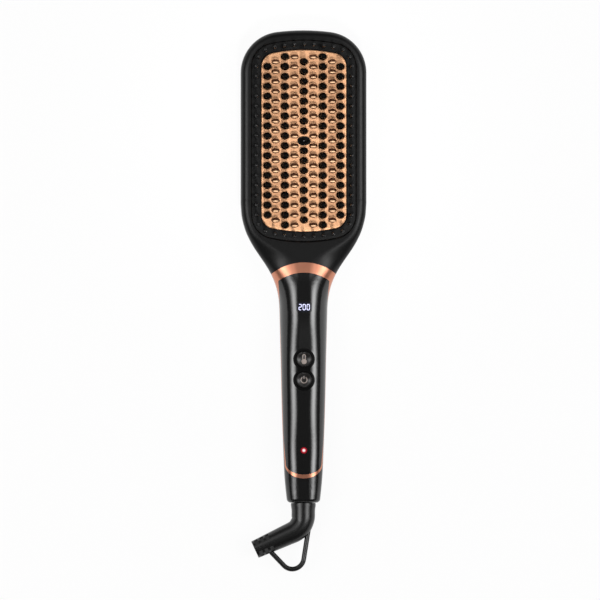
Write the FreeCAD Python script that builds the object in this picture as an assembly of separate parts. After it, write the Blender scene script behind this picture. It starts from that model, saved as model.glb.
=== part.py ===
import FreeCAD, Part
import math
import os

from FreeCAD import Matrix, Vector

# Heated styling brush. It lies on its back: X across, Y along towards the head, Z up through the bristles.
# Lengths are millimetres and angles degrees.

# Casing
HEAD_HALF_W = 38.25
HEAD_TOP_Y = 165.0
HEAD_CORNER_R = 25.0
HEAD_ARCH_R = 131.0
HEAD_JOIN_Y = 62.0
HEAD_H = 21.0
FRONT_ROUND = 5.0
BACK_ROUND = 8.0
WALL = 2.0
JOIN_STEP = 0.03
LEVEL_TOLERANCE = 0.001
PARTING_Z = 11.0
PARTING_GAP = 0.15

# Neck sections: place along the brush, half width, how far the height has gone from the head's (0) to the
# handle's (1), and how far the front has gone from flat (0) to crowned (1)
NECK_SECTIONS = [
    (58.7, 38.2, 0.0, 0.0),
    (55.6, 38.0, 0.0, 0.0),
    (52.6, 37.75, 0.0, 0.0),
    (49.5, 37.2, 0.0, 0.0),
    (46.5, 36.45, 0.0, 0.0),
    (43.4, 35.5, 0.0, 0.01),
    (37.3, 32.8, 0.05, 0.12),
    (31.2, 29.2, 0.17, 0.48),
    (25.1, 25.0, 0.40, 0.85),
    (19.0, 21.1, 0.68, 0.97),
    (12.9, 18.1, 0.88, 1.0),
    (6.8, 16.1, 0.97, 1.0),
]
# Handle sections: place along the brush and half width
HANDLE_SECTIONS = [
    (0.7, 15.0),
    (-26.7, 14.05),
    (-54.2, 13.45),
    (-81.6, 12.65),
    (-99.9, 11.95),
    (-109.1, 11.4),
    (-118.2, 10.5),
]
TAIL_Y = -122.8
TAIL_HALF_W = 9.95
TAIL_ROUND = 2.4
TAIL_WALL = 2.8
HANDLE_TOP_Y = 0.7
HANDLE_TOP_Z = 26.0
HANDLE_END_Z = 19.0
HANDLE_ARCH = 0.8
HANDLE_FLAT = 3.0
HANDLE_SIDE_LOW = 10.0
HANDLE_SIDE_HIGH = 12.0
QUARTER_PULL = 0.5523
CROWN_REACH = 6.1

# Rose gold trim and the panel inside it
BAND_OUTER_R = 31.0
BAND_OUTER_Y = -7.4
BAND_INNER_R = 26.6
BAND_INNER_Y = -9.2
BAND_CORNER_X = 15.6
PANEL_SHOULDER = (14.85, 3.7)
TRIM_SHOW = 0.22
TRIM_END = (12.3, -84.0)
TAIL_BAND_Y = -99.2
TAIL_BAND_OUTER = (11.5, 8.7)
TAIL_BAND_INNER = (10.9, 6.3)
PANEL_EDGE_Z = 13.6

# Heating plate and its rows
PLATE_W = 51.9
PLATE_L = 110.8
PLATE_Y = 97.6
PLATE_CORNER_R = 8.5
PLATE_ARCH_R = 92.0
PLATE_LOW_Z = 18.9
PLATE_TOP_Z = 21.4
PLATE_EDGE_ROUND = 0.8
ROW_PITCH = 6.02
STRIP_X = [-22.2, -11.5, 0.0, 11.5, 22.2]
STRIP_LAST_ROW = [7.5, 8.5, 8.0, 8.5, 7.5]
TOOTH_X = [-17.3, -5.7, 5.7, 17.3]
TOOTH_LAST_ROW = [8.0, 8.5, 8.5, 8.0]
# Width, depth, place along the brush and height of the ovals that a tooth runs through, from foot to ridge
TOOTH_OVALS = [
    (5.4, 3.4, 0.0, 20.4),
    (4.2, 1.8, -0.6, 26.4),
    (3.8, 1.3, -0.65, 27.0),
    (3.0, 0.7, -0.65, 27.4),
]
BRISTLE_SIZE = (4.1, 3.4)
BRISTLE_TIP_SHARE = 0.75
BRISTLE_TIP_ROUND = 1.1
BRISTLE_TIP_Z = 35.6
HOLE_SIZE = (4.7, 4.0)
HOLE_CHAMFER = 0.4
BAR_W = 4.2
BAR_LOW_Z = 15.9
BAR_TOP_Z = 17.9
BAR_END = 1.9

# Guard comb round the plate
OPENING_GROW = 5.6
OPENING_LIP = 0.6
GUARD_GAP = 0.8
GUARD_TOP_Z = 20.2
GUARD_LEDGE = 1.2
GUARD_FLANGE = 0.9
GUARD_FIT = 0.1
GUARD_PATH_GROW = 3.05
GUARD_BRISTLE_D = 2.4
GUARD_BRISTLE_TIP_SHARE = 0.7
GUARD_BRISTLE_TIP_ROUND = 0.7
GUARD_BRISTLE_TIP_Z = 33.5
GUARD_SIDE_ROW = 7.5
GUARD_END_COUNT = 11
GUARD_POST_X = 31.7
GUARD_POST_Y = 40.0
GUARD_POST_R = 2.2
GUARD_SPLIT_Y = 48.2

# Heater stack under the plate
HEATER_X = 5.75
HEATER_W = 6.0
HEATER_NEAR = 5.0
HEATER_FAR = 48.0
HEATER_LOW_Z = 17.5
RETAINER_GROW = 3.0
RETAINER_LOW_Z = 14.7
RETAINER_SCREW_X = 27.2
RETAINER_SCREW_Y = 44.0
RETAINER_SCREW_R = 0.9
RETAINER_SCREW_HEAD_R = 1.7
RETAINER_SCREW_HEAD_H = 0.9
RETAINER_SCREW_TIP_Z = 18.4
SHEET_GROW = -1.5
SHEET_LOW_Z = 14.2
FUSE_PLACE = (12.0, 78.0)
FUSE_R = 1.8
FUSE_L = 10.0
THERMISTOR_SIZE = (2.8, 3.0)
THERMISTOR_X = 6.8

# Ion outlet in the middle of the plate, its needle and its generator
OUTLET_SIZE = (8.1, 5.4)
OUTLET_FLANGE_SIZE = (9.2, 6.4)
OUTLET_MOUTH_SIZE = (6.0, 3.4)
OUTLET_FLANGE_Z = 18.0
OUTLET_FLOOR_Z = 19.6
OUTLET_TOP_Z = 22.0
OUTLET_FIT = 0.1
NEEDLE_R = 0.45
NEEDLE_LOW_Z = 13.2
NEEDLE_TOP_Z = 20.9
NEEDLE_CLEAR_R = 1.1
ION_MODULE_SIZE = (15.0, 20.0)
ION_MODULE_Y = 20.0
ION_MODULE_LOW_Z = 3.0
ION_MODULE_TOP_Z = 11.0
ION_PAD_SIZE = (10.0, 16.0)

# Controls on the handle
WINDOW_Y = -3.5
WINDOW_SIZE = (9.6, 6.4)
WINDOW_CORNER_R = 1.2
MODE_Y = -35.3
POWER_Y = -47.9
CAP_R = 4.6
CAP_PROUD = 0.5
CAP_DISH_R = 26.0
CAP_DISH = 0.3
CAP_FLANGE_R = 5.3
CAP_FLANGE_LOW_Z = 18.2
CAP_FLANGE_TOP_Z = 19.5
STEM_R = 1.7
STEM_LOW_Z = 16.6
BEZEL_R = 6.6
BEZEL_WAIST = 7.8
BEZEL_HOLE_R = 4.75
BEZEL_SINK = 0.35
BEZEL_FLANGE = 0.8
BEZEL_LOW_Z = 19.6
INDICATOR_Y = -90.8
INDICATOR_R = 2.0
INDICATOR_PROUD = 0.15
INDICATOR_H = 3.0

# Boards inside the handle
BOARD_H = 1.6
CONTROL_BOARD_Z = 13.0
CONTROL_BOARD_HALF_W = 8.0
CONTROL_BOARD_Y = (-96.0, 6.0)
CONTROL_POST_X = 6.6
CONTROL_POST_Y = [0.0, -75.0]
CONTROL_TOP_Z = CONTROL_BOARD_Z + BOARD_H
POWER_BOARD_Z = 5.5
POWER_BOARD_HALF_W = 6.0
POWER_BOARD_Y = (-85.0, -5.0)
POWER_TOP_Z = POWER_BOARD_Z + BOARD_H
POWER_POST_X = 4.6
POWER_POST_Y = [-10.0, -80.0]
POST_R = 1.2
SWITCH_W = 6.0
SWITCH_H = 2.8
SWITCH_WELL_R = 1.9
SWITCH_WELL_Z = 15.6
DISPLAY_SIZE = (10.0, 6.6)
DISPLAY_TOP_Z = 23.2
LED_W = 3.0
LED_H = 1.4
CAPACITOR_SIZE = (8.0, 14.0)
CAPACITOR_H = 5.2
CAPACITOR_Y = -62.0
TRIAC_SIZE = (9.0, 4.4)
TRIAC_H = 5.4
TRIAC_Y = -26.0

# Case screws and their bosses
NECK_SCREW_X = 13.5
NECK_SCREW_Y = 28.0
NECK_SCREW_TIP_Z = 18.0
TAIL_SCREW_Y = -100.6
TAIL_SCREW_TIP_Z = 15.0
SCREW_HEAD_R = 2.4
SCREW_HEAD_LOW_Z = 0.9
SCREW_HEAD_TOP_Z = 3.5
SCREW_R = 1.2
SCREW_CLEAR_R = 1.3
COUNTERBORE_R = 2.6
BACK_BOSS_R = 3.7
FRONT_BOSS_R = 3.0
TAIL_BOSS_R = 2.6
TAIL_BOSS_Z = 8.0

# Swivel, boot and hang loop
SWIVEL_Z = 9.5
SWIVEL_HOLE_R = 5.3
SWIVEL_NECK_R = 5.2
SWIVEL_FLANGE_R = 7.0
SWIVEL_FLANGE_Y = (-119.5, -116.8)
SWIVEL_SPIGOT_Y = -128.0
SWIVEL_SHAFT_R = 2.6
SWIVEL_SHAFT_Y = -104.6
SLIP_RING_R = 3.4
SLIP_RING_Y = [-113.4, -108.6]
SLIP_RING_L = 2.4
CONTACT_BLOCK_Y = (-115.6, -106.4)
CONTACT_BLOCK_HALF_W = 6.0
CONTACT_BLOCK_TOP_Z = 4.6
CONTACT_CLEAR = 0.3
CONTACT_W = 1.4
BOOT_START_Y = -123.1
BOOT_CORNER_Y = -138.0
BOOT_BEND_R = 11.0
BOOT_TURN = 65.4
BOOT_RUN = 32.45
BOOT_START_R = 7.45
BOOT_END_R = 5.5
BOOT_BORE_R = 3.1
BOOT_BORE_L = 22.5
BOOT_STATIONS = 15
SLOT_COUNT = 3
SLOT_FIRST = 1.6
SLOT_PITCH = 3.6
SLOT_SIZE = (4.8, 2.2)
SLOT_DEPTH = 0.9
SLOT_ANGLES = [45, 135, 225, 315]
LOOP_R = 1.5
LOOP_POINTS = [(3.78, -134.9, SWIVEL_Z), (-1.99, -171.5, SWIVEL_Z), (-19.85, -152.8, SWIVEL_Z)]
LOOP_BEND_R = 7.05

# Leads
LEAD_R = 0.8
LEAD_BEND_R = 1.3
HEATER_LEAD_POINTS = [
    (4.5, -7.0, 7.1),
    (4.5, -7.0, 10.0),
    (8.8, 3.0, 10.0),
    (8.8, 40.0, 10.0),
    (5.75, 56.0, 10.0),
    (5.75, 56.0, 14.2),
]
MAINS_LEAD_POINTS = [(5.0, -83.0, 7.1), (5.0, -83.0, 10.0), (5.0, -97.0, 3.8), (5.0, -106.4, 3.8)]
ION_LEAD_POINTS = [(0.0, 30.0, 7.0), (0.0, PLATE_Y, 7.0), (0.0, PLATE_Y, NEEDLE_LOW_Z)]

# Reach of the tools that cut right through, and the two sides of the mirror plane
FAR = 70.0
SIDES = [-1, 1]


# General shapes

def line(start, end):
    return Part.makeLine(Vector(*start), Vector(*end))


def chain(points):
    return [line(start, end) for start, end in zip(points, points[1:])]


def arc(start, middle, end):
    return Part.Arc(Vector(*start), Vector(*middle), Vector(*end)).toShape()


def quarter(start, corner, end, start_pull=QUARTER_PULL, end_pull=QUARTER_PULL):
    """Corner curve from start to end: a quarter of an ellipse, or leaner at an end that pulls less."""
    start, corner, end = Vector(*start), Vector(*corner), Vector(*end)
    curve = Part.BezierCurve()
    curve.setPoles([start, start + (corner - start) * start_pull, end + (corner - end) * end_pull, end])
    return curve.toShape()


def mix(first, second, share):
    return first + (second - first) * share


def mirrored(points):
    return [(-x, y) for x, y in reversed(points)]


def prism(wire, z_low, z_high):
    """Upright solid over a closed wire drawn at Z = 0."""
    solid = Part.Face(wire).extrude(Vector(0, 0, z_high - z_low))
    solid.translate(Vector(0, 0, z_low))
    return solid


def block(centre_x, centre_y, size, z_low, z_high):
    width, length = size
    corner = Vector(centre_x - width / 2, centre_y - length / 2, z_low)
    return Part.makeBox(width, length, z_high - z_low, corner)


def post(x, y, radius, z_low, z_high):
    return Part.makeCylinder(radius, z_high - z_low, Vector(x, y, z_low))


def rod_along(z, radius, y_low, y_high):
    """Round rod on the swivel axis or above it, along the handle."""
    return Part.makeCylinder(radius, y_high - y_low, Vector(0, y_low, z), Vector(0, 1, 0))


def moved(shape, x, y, z):
    copy = shape.copy()
    copy.translate(Vector(x, y, z))
    return copy


def made_oval(shape, size):
    """Round upright shape, as wide as the oval is deep, stretched across X to the oval's size."""
    width, depth = size
    matrix = Matrix()
    matrix.scale(width / depth, 1, 1)
    return shape.transformGeometry(matrix)


def oval_post(size, z_low, z_high):
    return moved(made_oval(post(0, 0, size[1] / 2, z_low, z_high), size), 0, PLATE_Y, 0)


def oval_pin(size, tip_share, tip_round, z_low, z_tip):
    """Tapered upright pin of oval section with a rounded tip."""
    base_r = size[1] / 2
    pin = Part.makeCone(base_r, base_r * tip_share, z_tip - z_low, Vector(0, 0, z_low))
    pin = pin.makeFillet(tip_round, edges_at(pin, z_tip))
    return made_oval(pin, size)


def edges_at(shape, z):
    """Edges that lie in the level plane at z."""
    level = [edge for edge in shape.Edges if edge.BoundBox.ZLength < LEVEL_TOLERANCE]
    return [edge for edge in level if abs(edge.BoundBox.Center.z - z) < LEVEL_TOLERANCE]


def joined(solids):
    first, *others = solids
    return first.multiFuse(others).removeSplitter()


def rounded_wire(points, radius):
    """Straight runs through the points, joined by tangent arcs."""
    corners = [Vector(*point) for point in points]
    edges = []
    start = corners[0]
    for before, corner, after in zip(corners, corners[1:], corners[2:]):
        back = (before - corner).normalize()
        ahead = (after - corner).normalize()
        half_turn = (math.pi - back.getAngle(ahead)) / 2
        reach = radius * math.tan(half_turn)
        inward = (back + ahead).normalize()
        middle = corner + inward * (radius / math.cos(half_turn) - radius)
        arc_start = corner + back * reach
        arc_end = corner + ahead * reach
        edges.append(Part.makeLine(start, arc_start))
        edges.append(Part.Arc(arc_start, middle, arc_end).toShape())
        start = arc_end
    edges.append(Part.makeLine(start, corners[-1]))
    return Part.Wire(edges)


def tube(points, radius, bend_r):
    path = rounded_wire(points, bend_r)
    direction = Vector(*points[1]) - Vector(*points[0])
    profile = Part.Wire(Part.makeCircle(radius, Vector(*points[0]), direction))
    return path.makePipeShell([profile], True, False)


# Plan outlines

def crown(half_w, corner_r, arch_r, top_y):
    """Arched end with rounded corners, right to left, and the height where its straight sides begin."""
    arch_y = top_y - arch_r
    corner_x = half_w - corner_r
    corner_y = arch_y + math.sqrt((arch_r - corner_r) ** 2 - corner_x ** 2)
    lean = math.atan2(corner_x, corner_y - arch_y)
    half_way = (math.pi / 2 - lean) / 2
    middle = (corner_x + corner_r * math.cos(half_way), corner_y + corner_r * math.sin(half_way))
    meet = (arch_r * math.sin(lean), arch_y + arch_r * math.cos(lean))
    right = arc((half_w, corner_y), middle, meet)
    top = arc(meet, (0, top_y), (-meet[0], meet[1]))
    left = arc((-meet[0], meet[1]), (-middle[0], middle[1]), (-half_w, corner_y))
    return [right, top, left], corner_y


def plate_crown(grow):
    return crown(PLATE_W / 2 + grow, PLATE_CORNER_R + grow, PLATE_ARCH_R + grow, PLATE_L / 2 + grow)


def plate_outline(grow):
    """Outline of the heating plate, grown evenly."""
    edges, side_y = plate_crown(grow)
    half_w = PLATE_W / 2 + grow
    lower = [edge.copy() for edge in edges]
    for edge in lower:
        edge.rotate(Vector(0, 0, 0), Vector(0, 0, 1), 180)
    left = line((-half_w, side_y), (-half_w, -side_y))
    right = line((half_w, -side_y), (half_w, side_y))
    wire = Part.Wire(edges + [left] + lower + [right])
    wire.translate(Vector(0, PLATE_Y, 0))
    return wire


def head_outline(inset):
    half_w = HEAD_HALF_W - inset
    edges, side_y = crown(half_w, HEAD_CORNER_R - inset, HEAD_ARCH_R - inset, HEAD_TOP_Y - inset)
    base = chain([(-half_w, side_y), (-half_w, HEAD_JOIN_Y), (half_w, HEAD_JOIN_Y), (half_w, side_y)])
    return Part.Wire(edges + base)


def tail_curve(size):
    """Half ellipse round the tail, right to left."""
    half_w, depth = size
    foot = (0, TAIL_BAND_Y - depth)
    right = quarter((half_w, TAIL_BAND_Y), (half_w, foot[1]), foot)
    left = quarter(foot, (-half_w, foot[1]), (-half_w, TAIL_BAND_Y))
    return [right, left]


def lid_outline():
    """Plan area of all the pieces that close the casing from the front: everything but the tail end."""
    top = (FAR, HEAD_TOP_Y + FAR)
    right = [top, (FAR, TRIM_END[1]), TRIM_END, (TAIL_BAND_OUTER[0], TAIL_BAND_Y)]
    left = mirrored(right)
    return Part.Wire(chain(right) + tail_curve(TAIL_BAND_OUTER) + chain(left + [top]))


def handle_outline():
    """Plan area below the arched joint between the head and the rose gold band."""
    half_w = math.sqrt(BAND_OUTER_R ** 2 - BAND_OUTER_Y ** 2)
    top = arc((-half_w, 0), (0, BAND_OUTER_Y + BAND_OUTER_R), (half_w, 0))
    sides = chain([(half_w, 0), (half_w, TAIL_Y - FAR), (-half_w, TAIL_Y - FAR), (-half_w, 0)])
    return Part.Wire([top] + sides)


def panel_outline():
    """Plan area of the control panel, inside the rose gold frame."""
    corner_y = BAND_INNER_Y + math.sqrt(BAND_INNER_R ** 2 - BAND_CORNER_X ** 2)
    beside_trim = [(half_w - TRIM_SHOW, y) for y, half_w in HANDLE_SECTIONS if y > TAIL_BAND_Y]
    right = [(BAND_CORNER_X, corner_y), PANEL_SHOULDER] + beside_trim + [(TAIL_BAND_INNER[0], TAIL_BAND_Y)]
    left = mirrored(right)
    top = arc(left[-1], (0, BAND_INNER_Y + BAND_INNER_R), right[0])
    return Part.Wire(chain(right) + tail_curve(TAIL_BAND_INNER) + chain(left) + [top])


# Casing form

def surface_z(y, turned):
    """Height of the casing's front along its middle."""
    if y > HANDLE_TOP_Y:
        return mix(HEAD_H, HANDLE_TOP_Z, turned)
    return mix(HANDLE_TOP_Z, HANDLE_END_Z, (HANDLE_TOP_Y - y) / (HANDLE_TOP_Y - TAIL_Y))


def back_z(y):
    """Height of the casing's back along its middle, with a slight arch under the handle."""
    along = max(HANDLE_TOP_Y - y, 0) / (HANDLE_TOP_Y - TAIL_Y)
    return HANDLE_ARCH * math.sin(math.pi * along)


def section(y, half_w, turned, crowned, inset):
    """Cross-section of the casing: straight sides, front and back joined by four oval corners."""
    flat_high = mix(half_w - FRONT_ROUND, HANDLE_FLAT, crowned)
    flat_low = mix(half_w - BACK_ROUND, HANDLE_FLAT, turned)
    side_high = mix(HEAD_H - FRONT_ROUND, HANDLE_SIDE_HIGH, turned)
    side_low = mix(BACK_ROUND, HANDLE_SIDE_LOW, turned)
    side = half_w - inset
    crown_pull = min(QUARTER_PULL, CROWN_REACH / (side - flat_high))
    top = surface_z(y, turned) - inset
    bottom = back_z(y) + inset
    edges = [
        line((side, y, side_low), (side, y, side_high)),
        quarter((side, y, side_high), (side, y, top), (flat_high, y, top), QUARTER_PULL, crown_pull),
        line((flat_high, y, top), (-flat_high, y, top)),
        quarter((-flat_high, y, top), (-side, y, top), (-side, y, side_high), crown_pull, QUARTER_PULL),
        line((-side, y, side_high), (-side, y, side_low)),
        quarter((-side, y, side_low), (-side, y, bottom), (-flat_low, y, bottom)),
        line((-flat_low, y, bottom), (flat_low, y, bottom)),
        quarter((flat_low, y, bottom), (side, y, bottom), (side, y, side_low)),
    ]
    return Part.Wire(edges)


def head_form(inset):
    solid = prism(head_outline(inset), inset, HEAD_H - inset)
    for z, radius in [(HEAD_H - inset, FRONT_ROUND - inset), (inset, BACK_ROUND - inset)]:
        rim = [edge for edge in edges_at(solid, z) if edge.BoundBox.YMax > HEAD_JOIN_Y + JOIN_STEP]
        solid = solid.makeFillet(radius, rim)
    return solid


def handle_form(inset, end_y):
    """Neck and handle. Its first section is a hair smaller than the head that it grows out of."""
    last_y, last_half_w = HANDLE_SECTIONS[-1]
    end_half_w = mix(last_half_w, TAIL_HALF_W, (last_y - end_y) / (last_y - TAIL_Y))
    wires = [section(HEAD_JOIN_Y, HEAD_HALF_W, 0.0, 0.0, inset + JOIN_STEP)]
    for y, half_w, turned, crowned in NECK_SECTIONS:
        wires.append(section(y, half_w, turned, crowned, inset))
    for y, half_w in HANDLE_SECTIONS + [(end_y, end_half_w)]:
        wires.append(section(y, half_w, 1.0, 1.0, inset))
    return Part.makeLoft(wires, True, False)


def rounded_tail(solid):
    end = [edge for edge in solid.Edges if edge.BoundBox.YMax < TAIL_Y + JOIN_STEP]
    return solid.makeFillet(TAIL_ROUND, end)


outer_form = joined([head_form(0), rounded_tail(handle_form(0, TAIL_Y))])
core_form = joined([head_form(WALL / 2), handle_form(WALL / 2, TAIL_Y + TAIL_WALL / 2)])
inner_form = joined([head_form(WALL), handle_form(WALL, TAIL_Y + TAIL_WALL)])
skin = outer_form.cut(inner_form)
lid = skin.common(prism(lid_outline(), PARTING_Z + PARTING_GAP, FAR))
handle_lid = lid.common(prism(handle_outline(), 0, FAR))
panel_area = prism(panel_outline(), PANEL_EDGE_Z, FAR)


def boss(x, y, radius, z_low, z_high):
    """Post that grows out of the casing's wall."""
    return post(x, y, radius, z_low, z_high).common(core_form)


# Casing pieces

def case_screw_places():
    """Place of each case screw, the height of its boss in the back shell and the height of its tip."""
    neck = [(side * NECK_SCREW_X, NECK_SCREW_Y, PARTING_Z, NECK_SCREW_TIP_Z) for side in SIDES]
    return neck + [(0, TAIL_SCREW_Y, TAIL_BOSS_Z, TAIL_SCREW_TIP_Z)]


def make_back_shell():
    shell = skin.cut(prism(lid_outline(), PARTING_Z, FAR))
    solids = [shell]
    bores = [rod_along(SWIVEL_Z, SWIVEL_HOLE_R, TAIL_Y - WALL, SWIVEL_FLANGE_Y[0])]
    for side in SIDES:
        for y in POWER_POST_Y:
            solids.append(boss(side * POWER_POST_X, y, POST_R, 0, POWER_BOARD_Z))
        for along in SIDES:
            y = PLATE_Y + along * GUARD_POST_Y
            solids.append(boss(side * GUARD_POST_X, y, GUARD_POST_R, 0, BAR_LOW_Z))
    for x, y, boss_z, _ in case_screw_places():
        solids.append(boss(x, y, BACK_BOSS_R, 0, boss_z))
        bores.append(post(x, y, COUNTERBORE_R, -WALL, SCREW_HEAD_TOP_Z))
        bores.append(post(x, y, SCREW_CLEAR_R, 0, boss_z + WALL))
    solids.append(block(0, ION_MODULE_Y, ION_PAD_SIZE, 0, ION_MODULE_LOW_Z).common(core_form))
    return joined(solids).cut(Part.makeCompound(bores))


def lip_funnel():
    """Flared cut that chamfers the front edge of the opening."""
    low = plate_outline(OPENING_GROW)
    low.translate(Vector(0, 0, HEAD_H - OPENING_LIP))
    high = plate_outline(OPENING_GROW + 2 * OPENING_LIP)
    high.translate(Vector(0, 0, HEAD_H + OPENING_LIP))
    return Part.makeLoft([low, high], True, True)


def make_front_shell():
    shell = lid.cut(prism(handle_outline(), 0, FAR))
    shell = shell.cut(prism(plate_outline(OPENING_GROW), PARTING_Z, FAR))
    shell = shell.cut(lip_funnel())
    solids = [shell]
    pilots = []
    for side in SIDES:
        x = side * NECK_SCREW_X
        solids.append(boss(x, NECK_SCREW_Y, FRONT_BOSS_R, PARTING_Z + PARTING_GAP, FAR))
        pilots.append(post(x, NECK_SCREW_Y, SCREW_R, 0, NECK_SCREW_TIP_Z))
    return joined(solids).cut(Part.makeCompound(pilots))


def make_trim_frame():
    return handle_lid.cut(panel_area)


def make_control_panel():
    panel = handle_lid.common(panel_area)
    holes = [window_prism(), bezel_prism(0), post(0, INDICATOR_Y, INDICATOR_R, 0, FAR)]
    panel = panel.cut(Part.makeCompound(holes))
    solids = [panel, boss(0, TAIL_SCREW_Y, TAIL_BOSS_R, TAIL_BOSS_Z, FAR)]
    for side in SIDES:
        for y in CONTROL_POST_Y:
            solids.append(boss(side * CONTROL_POST_X, y, POST_R, CONTROL_TOP_Z, FAR))
    return joined(solids).cut(post(0, TAIL_SCREW_Y, SCREW_R, 0, TAIL_SCREW_TIP_Z))


def make_case_screws():
    screws = []
    for x, y, _, tip_z in case_screw_places():
        head = post(x, y, SCREW_HEAD_R, SCREW_HEAD_LOW_Z, SCREW_HEAD_TOP_Z)
        screws.append(joined([head, post(x, y, SCREW_R, SCREW_HEAD_TOP_Z, tip_z)]))
    return Part.makeCompound(screws)


# Bristle field

def row_places(last_row):
    """Places along the plate from one end row to the other, one pitch apart."""
    count = int(2 * last_row) + 1
    return [PLATE_Y + (index - last_row) * ROW_PITCH for index in range(count)]


def bristle_places(x, last_row):
    """Bristle places of one strip. The middle of the plate is kept for the ion outlet."""
    return [(x, y) for y in row_places(last_row) if abs(x) + abs(y - PLATE_Y) > ROW_PITCH / 4]


def hole_tool():
    """Oval hole with a chamfered rim, to be cut from the plate."""
    radius = HOLE_SIZE[1] / 2
    wide = radius + HOLE_CHAMFER
    straight = post(0, 0, radius, BAR_TOP_Z, PLATE_TOP_Z)
    rim = Part.makeCone(radius, wide, HOLE_CHAMFER, Vector(0, 0, PLATE_TOP_Z - HOLE_CHAMFER))
    above = post(0, 0, wide, PLATE_TOP_Z, PLATE_TOP_Z + WALL)
    return made_oval(joined([straight, rim, above]), HOLE_SIZE)


def oval_wire(width, depth, y, z):
    return Part.Wire(Part.Ellipse(Vector(0, y, z), width / 2, depth / 2).toShape())


def make_tooth():
    """Oval tooth that narrows to a rounded ridge and leans towards the handle."""
    outlines = [oval_wire(*oval) for oval in TOOTH_OVALS]
    return Part.makeLoft(outlines, True, True)


def make_heating_plate():
    plate = prism(plate_outline(0), PLATE_LOW_Z, PLATE_TOP_Z)
    plate = plate.makeFillet(PLATE_EDGE_ROUND, edges_at(plate, PLATE_TOP_Z))
    tool = hole_tool()
    holes = [oval_post([side + 2 * OUTLET_FIT for side in OUTLET_SIZE], BAR_LOW_Z, FAR)]
    for x, last_row in zip(STRIP_X, STRIP_LAST_ROW):
        holes += [moved(tool, *place, 0) for place in bristle_places(x, last_row)]
    plate = plate.cut(Part.makeCompound(holes))
    tooth = make_tooth()
    teeth = []
    for x, last_row in zip(TOOTH_X, TOOTH_LAST_ROW):
        teeth += [moved(tooth, x, y, 0) for y in row_places(last_row)]
    return plate.multiFuse(teeth).removeSplitter()


def make_bristle_strip(x, last_row):
    length = 2 * (last_row * ROW_PITCH + BAR_END)
    bar = block(x, PLATE_Y, (BAR_W, length), BAR_LOW_Z, BAR_TOP_Z)
    if x == 0:
        bar = bar.cut(post(0, PLATE_Y, NEEDLE_CLEAR_R, 0, FAR))
    root_z = (BAR_LOW_Z + BAR_TOP_Z) / 2
    pin = oval_pin(BRISTLE_SIZE, BRISTLE_TIP_SHARE, BRISTLE_TIP_ROUND, root_z, BRISTLE_TIP_Z)
    return joined([bar] + [moved(pin, *place, 0) for place in bristle_places(x, last_row)])


def guard_places():
    """Outer bristles: one beside each row along the sides, and evenly spaced round the two ends."""
    half_w = PLATE_W / 2 + GUARD_PATH_GROW
    last_y = GUARD_SIDE_ROW * ROW_PITCH
    places = [(side * half_w, y) for side in SIDES for y in row_places(GUARD_SIDE_ROW)]
    edges, side_y = plate_crown(GUARD_PATH_GROW)
    right = line((half_w, last_y), (half_w, side_y))
    left = line((-half_w, side_y), (-half_w, last_y))
    end = Part.Wire([right] + edges + [left])
    for point in end.discretize(Number=GUARD_END_COUNT + 2)[1:-1]:
        places += [(point.x, PLATE_Y + along * point.y) for along in SIDES]
    return places


def whole_guard_comb():
    lower = prism(plate_outline(OPENING_GROW + GUARD_FLANGE), BAR_LOW_Z, PLATE_LOW_Z)
    lower = lower.cut(prism(plate_outline(-GUARD_LEDGE), 0, FAR))
    upper = prism(plate_outline(OPENING_GROW - GUARD_FIT), PLATE_LOW_Z, GUARD_TOP_Z)
    upper = upper.cut(prism(plate_outline(GUARD_GAP), 0, FAR))
    pin = oval_pin((GUARD_BRISTLE_D, GUARD_BRISTLE_D), GUARD_BRISTLE_TIP_SHARE, GUARD_BRISTLE_TIP_ROUND,
                   PLATE_LOW_Z, GUARD_BRISTLE_TIP_Z)
    comb = joined([lower, upper] + [moved(pin, *place, 0) for place in guard_places()])
    pilots = [post(x, y, RETAINER_SCREW_R, 0, RETAINER_SCREW_TIP_Z) for x, y in retainer_screw_places()]
    return comb.cut(Part.makeCompound(pilots))


def make_guard_combs():
    """The comb comes in four lengths: one along each side of the plate and one round each end."""
    comb = whole_guard_comb()
    side_size = (FAR, 2 * GUARD_SPLIT_Y)
    end_size = (2 * FAR, FAR)
    end_y = GUARD_SPLIT_Y + FAR / 2
    areas = {
        "guard_comb_left": block(-FAR / 2, PLATE_Y, side_size, 0, FAR),
        "guard_comb_right": block(FAR / 2, PLATE_Y, side_size, 0, FAR),
        "guard_comb_head": block(0, PLATE_Y + end_y, end_size, 0, FAR),
        "guard_comb_neck": block(0, PLATE_Y - end_y, end_size, 0, FAR),
    }
    return {name: comb.common(area) for name, area in areas.items()}


# Heater stack

def heater_places():
    middle = (HEATER_NEAR + HEATER_FAR) / 2
    return [(side * HEATER_X, PLATE_Y + along * middle) for along in SIDES for side in SIDES]


def heater_block(place, z_low, z_high):
    return block(*place, (HEATER_W, HEATER_FAR - HEATER_NEAR), z_low, z_high)


def make_heater_pads():
    return Part.makeCompound([heater_block(place, BAR_LOW_Z, HEATER_LOW_Z) for place in heater_places()])


def retainer_screw_places():
    rows = [PLATE_Y - RETAINER_SCREW_Y, PLATE_Y, PLATE_Y + RETAINER_SCREW_Y]
    return [(side * RETAINER_SCREW_X, y) for side in SIDES for y in rows]


def make_retainer_plate():
    plate = prism(plate_outline(RETAINER_GROW), RETAINER_LOW_Z, BAR_LOW_Z)
    holes = [post(x, y, RETAINER_SCREW_R, 0, FAR) for x, y in retainer_screw_places()]
    holes.append(post(0, PLATE_Y, NEEDLE_CLEAR_R, 0, FAR))
    return plate.cut(Part.makeCompound(holes))


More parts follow.
